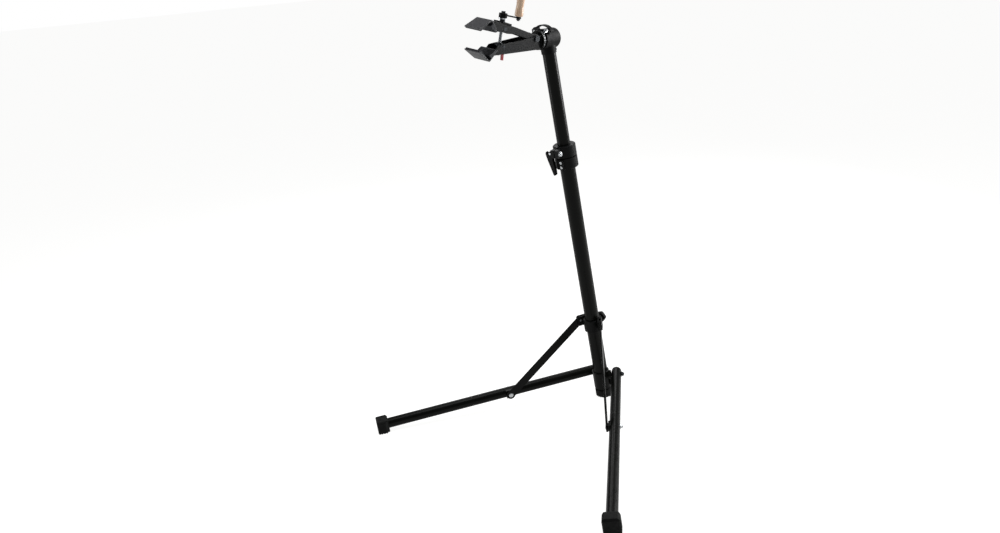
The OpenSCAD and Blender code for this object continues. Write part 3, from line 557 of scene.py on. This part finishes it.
SIDES = ("right", "left")
MAST = axes((0, 0, 0), JOINTS["mast_height"]["axis"])
HEAD = axes(JOINTS["head_turn"]["pos_m"], JOINTS["head_turn"]["axis"])
FORWARD = Vector(JOINTS["head_turn"]["axis"]).normalized()
ACROSS = -Vector(JOINTS["arm_open"]["axis"]).normalized()
ARM_PIVOT = Vector(JOINTS["arm_open"]["pos_m"])
LOWER_SWIVEL = Vector(JOINTS["nut_tilt"]["pos_m"])
UPPER_SWIVEL = Vector(JOINTS["screw_tilt"]["pos_m"])
SCREW_SPAN = (UPPER_SWIVEL - LOWER_SWIVEL).length


def side_frame(origin, x_axis):
    """A frame in the clamp's own plane: X along x_axis, Y across the clamp, Z up from the arm."""
    x = Vector(x_axis).normalized()
    made = Matrix((x, ACROSS, x.cross(ACROSS))).transposed().to_4x4()
    made.translation = Vector(origin)
    return made


CLAMP = side_frame(ARM_PIVOT, FORWARD)
LOWER_ARM = side_frame(ARM_PIVOT, LOWER_SWIVEL - ARM_PIVOT)
UPPER_ARM = side_frame(ARM_PIVOT, UPPER_SWIVEL - ARM_PIVOT)
SCREW = axes(LOWER_SWIVEL, UPPER_SWIVEL - LOWER_SWIVEL, FORWARD)


class Step:
    """What every build step shares."""
    bl_options = {"REGISTER", "UNDO"}

    def execute(self, context):
        if not FINISHES:
            make_finishes(context.scene.stand_colours)
        self.build(context.scene.stand_sizes)
        return {"FINISHED"}


class StageStep(Step, bpy.types.Operator):
    """Lays the pale floor and sets the backdrop, the soft lights and the camera"""
    bl_idname = "stand.stage"
    bl_label = "Stage"

    def execute(self, context):
        settings = context.scene.stand_stage
        lay_floor(tuple(settings.floor))
        set_world()
        set_camera(settings)
        set_lights(settings)
        return {"FINISHED"}


def lay_floor(tint):
    """A pale floor that runs to the horizon."""
    mesh = bpy.data.meshes.new("floor")
    reach = 400
    corners = ((-1, -1), (1, -1), (1, 1), (-1, 1))
    mesh.from_pydata([(x * reach, y * reach, 0) for x, y in corners], [], [(0, 1, 2, 3)])
    floor = bpy.data.objects.new("floor", mesh)
    bpy.context.scene.collection.objects.link(floor)
    material = bpy.data.materials.new("studio_floor")
    material.use_nodes = True
    shader = material.node_tree.nodes["Principled BSDF"]
    shader.inputs["Base Color"].default_value = (*(c * 0.3 for c in tint), 1)
    shader.inputs["Roughness"].default_value = 0.9
    shader.inputs["Specular IOR Level"].default_value = 0.0
    # it glows like a lit table: pale right up to the horizon, with a weaker glow on the stand
    lights_with, seen_as = 0.5, 0.95
    shader.inputs["Emission Color"].default_value = (*tint, 1)
    tree = material.node_tree
    seen = node(tree, "ShaderNodeLightPath").outputs["Is Camera Ray"]
    tree.links.new(spread(tree, seen, 0, 1, lights_with, seen_as),
                   shader.inputs["Emission Strength"])
    mesh.materials.append(material)


def set_world():
    """A white backdrop, with dim even room light around the soft boxes."""
    world = bpy.data.worlds.new("studio")
    bpy.context.scene.world = world
    bpy.context.scene.view_settings.view_transform = "Standard"
    world.use_nodes = True
    tree = world.node_tree
    seen = node(tree, "ShaderNodeLightPath").outputs["Is Camera Ray"]
    room_light, backdrop = (0.16, 0.16, 0.17), (1.0, 1.0, 1.0)
    sky = mix_colour(tree, seen, room_light, backdrop)
    background = tree.nodes["Background"]
    tree.links.new(sky, background.inputs["Color"])
    background.inputs["Strength"].default_value = 1.0


def camera_axes(settings):
    """The camera's right, up and back, from its angles."""
    a, e, r = settings.azimuth, settings.elevation, settings.roll
    back = Vector((math.sin(a) * math.cos(e), -math.cos(a) * math.cos(e), math.sin(e)))
    right = (-back).cross(Vector((0, 0, 1))).normalized()
    up = right.cross(-back)
    return (right * math.cos(r) + up * math.sin(r),
            up * math.cos(r) - right * math.sin(r), back)


def set_camera(settings):
    """The camera, at its distance from the point it is aimed at."""
    aim = Vector((-0.00296, -0.42933, 0.57905))
    right, up, back = camera_axes(settings)
    data = bpy.data.cameras.new("camera")
    data.lens = settings.lens
    data.sensor_width = 36
    data.clip_end = 1000
    camera = bpy.data.objects.new("camera", data)
    turn = Matrix((right, up, back)).transposed().to_4x4()
    turn.translation = aim + back * settings.distance
    camera.matrix_world = turn
    bpy.context.scene.collection.objects.link(camera)
    bpy.context.scene.camera = camera


def set_lights(settings):
    """A tall soft box on each side of the stand, a wide one behind it and one overhead."""
    aim = Vector((0, -0.3, 0.6))
    a = settings.azimuth
    toward = Vector((math.sin(a), -math.cos(a), 0))
    right = Vector((math.cos(a), math.sin(a), 0))
    up = Vector((0, 0, 1))
    # each box's offset from the aim in metres, its width and height, and its watts
    boxes = [("left_softbox", -right * 2.3 - toward * 0.4 + up * 0.6, (0.35, 2.6), 26),
             ("right_softbox", right * 2.2 - toward * 0.6 + up * 1.0, (0.8, 2.2), 84),
             ("back_softbox", -toward * 2.6 + up * 1.6, (2.0, 1.2), 18),
             ("top_softbox", up * 2.6, (1.6, 1.6), 24)]
    for name, offset, size, power in boxes:
        data = bpy.data.lights.new(name, "AREA")
        data.shape = "RECTANGLE"
        data.size, data.size_y = size
        data.energy = power
        light = bpy.data.objects.new(name, data)
        light.location = aim + offset
        light.rotation_euler = (-offset).to_track_quat("-Z", "Y").to_euler()
        bpy.context.scene.collection.objects.link(light)


class TubesStep(Step, bpy.types.Operator):
    """Finishes the mast and leg tubes, with domed plugs in the legs' upper ends"""
    bl_idname = "stand.tubes"
    bl_label = "Tubes"

    def build(self, sizes):
        kept("lower_tube", "upper_tube", "tube_bush", "tube_glide")
        wall, dome_height, rim_height = 1.6 * MM, 14 * MM, 1.2 * MM
        for side in SIDES:
            tube, plug = f"{side}_leg_tube", f"{side}_leg_plug"
            kept(tube)
            line = leg_line(side)
            middle, tip = points_of(tube).mean(0), points_of(plug).mean(0)
            at = axes(middle, line, (0, 0, 1))
            if (at.inverted() @ Vector(tip)).z <= 0:
                at = axes(middle, -line, (0, 0, 1))
            low, high, r = span_of(plug, at)
            rim = high - dome_height
            dome = [(r * math.cos(t), rim + dome_height * math.sin(t))
                    for t in (math.radians(a) for a in range(12, 91, 6))]
            outline = [(0, low), (r - wall, low), (r - wall, rim - 0.05 * MM), (r, rim),
                       (r, rim + rim_height), *dome]
            outline = [(x, min(z, high)) for x, z in outline]
            mesh = turned(f"{side}_plug", at, outline)
            piece(f"{side}_plug", mesh, BODY_OF[plug], SLOT_OF[plug], [plug])


def leg_line(side):
    """Direction of a leg's tube: the line its points spread along the most."""
    co = points_of(f"{side}_leg_tube")
    _, vectors = np.linalg.eigh(np.cov((co - co.mean(0)).T))
    return Vector(vectors[:, -1])


class FeetStep(Step, bpy.types.Operator):
    """Moulds the rubber feet, with grooved soles"""
    bl_idname = "stand.feet"
    bl_label = "Rubber feet"

    def build(self, sizes):
        groove_width, groove_depth, reach = 2.4 * MM, 1.6 * MM, 0.08
        for name in ("mast_foot", "right_leg_foot", "left_leg_foot"):
            low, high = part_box(name)
            middle = Vector(((low.x + high.x) / 2, (low.y + high.y) / 2, 0))
            along = Vector((1, 0, 0)) if name == "mast_foot" else leg_line(name.split("_")[0])
            at = axes(middle, (0, 0, 1), along)
            cutter = groove_cutter(at, groove_width, groove_depth, sizes.sole_rib, reach)
            softened(name, sizes.rubber_edge, segments=3, cutter=cutter)


class HubStep(Step, bpy.types.Operator):
    """The welded bracket that carries both legs, and its bolts"""
    bl_idname = "stand.hub"
    bl_label = "Hub bracket"

    def build(self, sizes):
        softened("hub_bracket", sizes.sheet_edge)
        softened("leg_pivot_bolts", sizes.bolt_edge)
        low, high, _ = span_of("hub_bracket", MAST)
        tube_r, off_tube, off_sleeve = 22.5 * MM, 1.0 * MM, 0.2 * MM
        paths = [(ring_at(MAST, tube_r + off_tube, z, 72), True)
                 for z in (low - off_sleeve, high + off_sleeve)]
        beads("hub_welds", "lower_mast", "black_tube", paths, sizes.bead)


class BracesStep(Step, bpy.types.Operator):
    """Flat braces with their saddles and bolts"""
    bl_idname = "stand.braces"
    bl_label = "Braces"

    def build(self, sizes):
        for side in SIDES:
            softened(f"{side}_brace", sizes.sheet_edge * 1.4)  # bar is rounder than cut sheet
            softened(f"{side}_brace_saddle", sizes.sheet_edge)
            softened(f"{side}_brace_bolt", sizes.bolt_edge)
            softened(f"{side}_brace_head", sizes.bolt_edge)


class SliderStep(Step, bpy.types.Operator):
    """The collar that slides on the mast, and its star knob"""
    bl_idname = "stand.slider"
    bl_label = "Slider"

    def build(self, sizes):
        softened("slide_collar", sizes.cast_edge * 0.7)  # its forked ears are thin
        kept("slide_pins")
        at = joint_axes("knob_turn")
        low, high, reach = span_of("star_knob", at)
        thickness = 12
        base = high - thickness * MM

        def lobes(turn):
            return 1 - 0.11 * (1 - math.cos(5 * turn)) / 2 - 0.03 * (1 - math.cos(10 * turn)) / 2
        # (share of the full radius, millimetres above the base); only the outer rings are lobed
        lobed_from = 0.6
        shape = [(0.90, 0.0), (0.97, 0.7), (1.0, 2.2), (1.0, 8.6), (0.98, 10.2), (0.93, 11.4),
                 (0.84, thickness), (0.50, thickness), (0.47, 11.7), (0.45, 10.6), (0.10, 10.6)]
        rings = [ring_at(at, reach * k, base + z * MM, 100, lobes if k > lobed_from else None)
                 for k, z in shape]
        piece("knob_grip", loft("knob_grip", rings), "knob", "black_plastic", ["star_knob"])
        stud = [(3.4 * MM, low), (4 * MM, low + 0.6 * MM), (4 * MM, base + 1 * MM)]
        collar = [(8.4 * MM, base - 1.9 * MM), (9 * MM, base - 1.4 * MM),
                  (9.6 * MM, base + 0.5 * MM)]
        cap = [(reach * 0.42, base + 10.7 * MM), (reach * 0.41, base + 11.3 * MM),
               (reach * 0.25, base + 11.7 * MM), (0, base + 11.8 * MM)]
        piece("knob_stud", turned("knob_stud", at, stud, 32), "knob", "zinc")
        piece("knob_collar", turned("knob_collar", at, collar, 48), "knob", "black_plastic")
        piece("knob_cap", turned("knob_cap", at, cap, 48), "knob", "black_plastic")


class HeightLockStep(Step, bpy.types.Operator):
    """The moulded clamp that locks the upper tube, with its skewer and cam lever"""
    bl_idname = "stand.height_lock"
    bl_label = "Height lock"

    def build(self, sizes):
        softened("lock_body", sizes.cast_edge)
        softened("lock_lever", sizes.cast_edge)
        softened("lock_screws", sizes.bolt_edge)
        softened("lock_nut", sizes.bolt_edge)
        kept("lock_skewer")


class HeadStep(Step, bpy.types.Operator):
    """The cast head with its cap, cam lever, spindle and toothed ring"""
    bl_idname = "stand.head"
    bl_label = "Head"

    def build(self, sizes):
        softened("head_housing", sizes.cast_edge)
        softened("head_lever", sizes.cast_edge * 0.8)
        softened("head_nut", sizes.bolt_edge)
        softened("neck_screws", sizes.bolt_edge)
        softened("head_flange", sizes.sheet_edge)
        kept("spindle_bushes", "head_skewer", "spindle", "spindle_nut", "lock_ring")
        # the toothed ring's zinc is darkened as painted shade, for the shade between the flange and the housing
        coat(NODES["lock_ring"], "zinc_painted_shade")
        low, high, r = span_of("rear_cap", HEAD)
        edge_r, spigot_r, hollow_r, lip = 4 * MM, 20 * MM, 17 * MM, 0.3 * MM
        rim = low + edge_r
        hollow_end = rim - 1.0 * MM
        dome = [((r - edge_r) + edge_r * math.cos(t), rim - edge_r * math.sin(t))
                for t in (math.radians(a) for a in range(0, 91, 9))]
        centre = [(k * (r - 5 * MM), low) for k in (1.0, 0.6, 0.2, 0)]
        inside = [(0, hollow_end), (hollow_r, hollow_end), (hollow_r, high),
                  (spigot_r - lip, high), (spigot_r, high - lip), (spigot_r, rim), (r, rim)]
        mesh = turned("rear_dome", HEAD, inside + dome + centre)
        piece("rear_dome", mesh, BODY_OF["rear_cap"], SLOT_OF["rear_cap"], ["rear_cap"])


class ArmsStep(Step, bpy.types.Operator):
    """The clamp's folded sheet arms, their pivot and welds"""
    bl_idname = "stand.arms"
    bl_label = "Clamp arms"

    def build(self, sizes):
        for name in ("lower_arm", "upper_arm", "saddle_plate", "lower_jaw_plate",
                     "upper_jaw_plate"):
            softened(name, sizes.sheet_edge)
        for name in ("arm_pivot_bolt", "arm_pivot_nut"):
            softened(name, sizes.bolt_edge)
        # the weld runs down one side of the lower arm's root, across below and up the other side
        off_side, off_below, off_root, short_of_top = 0.4 * MM, 0.3 * MM, 0.7 * MM, 3 * MM
        round_by = 2.5 * MM
        points = local("lower_arm", CLAMP)
        root = points[:, 0].min()
        back = points[points[:, 0] < root + 0.5 * MM]
        side = back[:, 1].max() + off_side
        low, top = back[:, 2].min() - off_below, back[:, 2].max() - short_of_top
        edge = [(-side, top), (-side, low + round_by), (round_by - side, low),
                (side - round_by, low), (side, low + round_by), (side, top)]
        path = [CLAMP @ Vector((root + off_root, y, z)) for y, z in edge]
        beads("arm_root_weld", "head", "arm_steel", [(path, False)], sizes.bead)


def jaw_pad(name, arm, up, sizes):
    """A jaw's two ribbed rubber pads, worked out from the node's own points."""
    co = local(name, arm)
    co[:, 2] *= up
    half = co[:, 1].max()
    bevel = 0.7 * MM
    meshes = []
    for way in (-1, 1):
        part = co[(co[:, 0] - co[:, 0].mean()) * way > 0]
        flat = part[:, (0, 2)]
        middle = flat.mean(0)
        order = np.argsort(np.arctan2(flat[:, 1] - middle[1], flat[:, 0] - middle[0]))
        outline = []
        for k in order:
            if not outline or np.hypot(*(flat[k] - outline[-1])) > 0.05 * MM:
                outline.append(flat[k])
        outline = ribbed(outline, sizes.pad_rib)
        ring = [[arm @ Vector((x, y, z * up)) for x, z in shrunk(outline, inset)]
                for y, inset in ((-half, bevel), (-half + bevel, 0), (half - bevel, 0),
                                 (half, bevel))]
        meshes.append(loft(f"{name}_{way}", ring, 40))
    return joined(name + "_ribbed", meshes)


def shrunk(outline, inset):
    """An outline drawn in towards its middle by about inset."""
    points = np.array(outline)
    middle = points.mean(0)
    away = points - middle
    reach = np.hypot(away[:, 0], away[:, 1])[:, None]
    return middle + away * (1 - inset / np.maximum(reach, inset * 2))


def ribbed(outline, pitch):
    """Cuts small grooves into an outline's gripping face, the upper of its two longest sides."""
    half_mouth, half_floor, depth, margin = 0.8 * MM, 0.5 * MM, 1.1 * MM, 1.5 * MM
    points = [np.array(p) for p in outline]
    count = len(points)
    middle = np.mean(points, axis=0)
    sides = [(np.hypot(*(points[(i + 1) % count] - points[i])), i) for i in range(count)]
    longest = sorted(sides, reverse=True)[:2]
    grip = max(longest, key=lambda s: (points[s[1]] + points[(s[1] + 1) % count])[1])[1]
    a, b = points[grip], points[(grip + 1) % count]
    along = (b - a) / np.hypot(*(b - a))
    inward = np.array((-along[1], along[0]))
    if inward @ (middle - a) < 0:
        inward = -inward
    total = np.hypot(*(b - a))
    cuts = []
    steps = int((total - 2 * margin) / pitch)
    first = (total - (steps - 1) * pitch) / 2 if steps > 1 else total / 2
    for k in range(steps):
        s = first + k * pitch
        cuts += [a + along * (s - half_mouth), a + along * (s - half_floor) + inward * depth,
                 a + along * (s + half_floor) + inward * depth, a + along * (s + half_mouth)]
    return points[:grip + 1] + cuts + points[grip + 1:]


class PadsStep(Step, bpy.types.Operator):
    """Ribbed rubber pads on the jaws"""
    bl_idname = "stand.pads"
    bl_label = "Jaw pads"

    def build(self, sizes):
        for name, arm, up in (("lower_jaw_pads", LOWER_ARM, 1), ("upper_jaw_pads", UPPER_ARM, -1)):
            mesh = jaw_pad(name, arm, up, sizes)
            pads = piece(name + "_ribbed", mesh, BODY_OF[name], SLOT_OF[name], [name])
            coat(pads, "pad_rubber")


class ScrewStep(Step, bpy.types.Operator):
    """The threaded clamp screw with its swivels, washer and release lever"""
    bl_idname = "stand.screw"
    bl_label = "Clamp screw"

    def build(self, sizes):
        softened("nut_block", sizes.bolt_edge)
        softened("swivel_block", sizes.bolt_edge)
        softened("release_lever", sizes.sheet_edge)
        kept("thrust_washer")
        low, high, _ = span_of("clamp_screw", SCREW)
        screw_r, neck_r, neck_length = 4.5 * MM, 3.5 * MM, 12 * MM
        run_out, tip_bevel = 2 * MM, 1.2 * MM
        pitch, depth = sizes.thread_pitch, sizes.thread_depth
        thread_end = SCREW_SPAN + 4 * MM
        hub = SCREW_SPAN + 26 * MM
        rings, count = [], 40
        z = low
        # ten rings a turn; the thread fades out at both ends and its tip is bevelled
        while z < thread_end:
            fade = min(1.0, (z - low + 0.3 * MM) / run_out, (thread_end - z) / run_out)
            bevel = max(0.0, tip_bevel - (z - low))
            ring = []
            for i in range(count):
                phase = (z / pitch - i / count) % 1.0
                # a flat crest between steep flanks and a flat root
                crest = min(1.0, max(0.0, 2.6 - abs(phase - 0.5) * 8.0))
                turn = 2 * math.pi * i / count
                radius = screw_r - depth * (1 - crest) * fade - bevel
                ring.append(SCREW @ Vector((radius * math.cos(turn), radius * math.sin(turn), z)))
            rings.append(ring)
            z += pitch / 10
        shank = [(screw_r, thread_end), (screw_r, hub - 0.1 * MM), (neck_r, hub),
                 (neck_r, hub + neck_length)]
        rings += [ring_at(SCREW, radius, along, count) for radius, along in shank]
        rod = loft("clamp_screw_threaded", rings, 50)
        across_flats, nut_height = 10 * MM, 4.5 * MM
        nut = hex_nut("clamp_screw_nut", SCREW, across_flats, high - nut_height, nut_height)
        piece("clamp_screw_threaded", rod, "screw", "steel", ["clamp_screw"])
        piece("clamp_screw_nut", nut, "screw", "dark_steel")


def hex_nut(name, place_at, across, base, height):
    """A hexagon with the turned chamfers of a real nut."""
    count = 72
    flat = across / 2
    chamfer = flat * 0.97
    slope, centre, least = 0.55, 0.3 * MM, 0.05 * MM

    def radius(turn):
        return flat / math.cos((turn + math.pi / 6) % (math.pi / 3) - math.pi / 6)
    rings = []
    for z_edge, sign in ((base, 1), (base + height, -1)):
        inner = ring_at(place_at, centre, z_edge, count)
        lip = ring_at(place_at, chamfer, z_edge, count)
        rim = []
        for i in range(count):
            turn = 2 * math.pi * i / count
            r = radius(turn)
            drop = max(least, (r - chamfer) * slope)
            rim.append(place_at @ Vector((r * math.cos(turn), r * math.sin(turn),
                                          z_edge + sign * drop)))
        rings += [inner, lip, rim] if sign > 0 else [rim, lip, inner]
    return loft(name, rings, 25)


class CrankStep(Step, bpy.types.Operator):
    """The crank with its turned beech handle"""
    bl_idname = "stand.crank"
    bl_label = "Crank"

    def build(self, sizes):
        softened("crank_hub", sizes.bolt_edge)
        softened("crank_arm", sizes.sheet_edge)
        kept("handle_pin")
        at = joint_axes("grip_spin")
        low, high, r = span_of("handle", at)
        # (share of the full radius, millimetres up a handle of this length)
        drawn_length = 80
        shape = [(0.58, 0.0), (0.78, 0.5), (0.90, 2.2), (0.95, 5.5), (0.92, 12), (0.845, 22),
                 (0.83, 29), (0.88, 39), (0.96, 50), (1.0, 60), (0.985, 67), (0.90, 73.5),
                 (0.70, 77.6), (0.40, 79.4), (0.0, drawn_length)]
        scale = (high - low) / drawn_length
        outline = [(max(0.0, k) * r, low + z * scale) for k, z in eased(shape, 5)]
        outline = [(x, min(max(z, low), high)) for x, z in outline]
        mesh = turned("beech_handle", at, outline, 72, 50)
        piece("beech_handle", mesh, BODY_OF["handle"], "wood", ["handle"])


GROUPS = (StandColours, StandSizes, StageSettings)
STEPS = (StageStep, TubesStep, FeetStep, HubStep, BracesStep, SliderStep, HeightLockStep,
         HeadStep, ArmsStep, PadsStep, ScrewStep, CrankStep)


class STAND_PT_build(bpy.types.Panel):
    """Lists the stand's sizes, colours and build steps"""
    bl_label = "Repair stand"
    bl_space_type = "VIEW_3D"
    bl_region_type = "UI"
    bl_category = "Stand"

    def draw(self, context):
        scene = context.scene
        for settings in (scene.stand_colours, scene.stand_sizes, scene.stand_stage):
            box = self.layout.box()
            for key in settings.bl_rna.properties.keys():
                if key not in ("rna_type", "name"):
                    box.prop(settings, key)
        for step in STEPS:
            self.layout.operator(step.bl_idname)


CLASSES = (*GROUPS, *STEPS, STAND_PT_build)


def register():
    for cls in CLASSES:
        bpy.utils.register_class(cls)
    bpy.types.Scene.stand_colours = bpy.props.PointerProperty(type=StandColours)
    bpy.types.Scene.stand_sizes = bpy.props.PointerProperty(type=StandSizes)
    bpy.types.Scene.stand_stage = bpy.props.PointerProperty(type=StageSettings)


def unregister():
    for key in ("stand_stage", "stand_sizes", "stand_colours"):
        delattr(bpy.types.Scene, key)
    for cls in reversed(CLASSES):
        bpy.utils.unregister_class(cls)


def main():
    register()
    for step in STEPS:
        getattr(bpy.ops.stand, step.bl_idname.split(".")[1])()


if __name__ == "__main__":
    main()
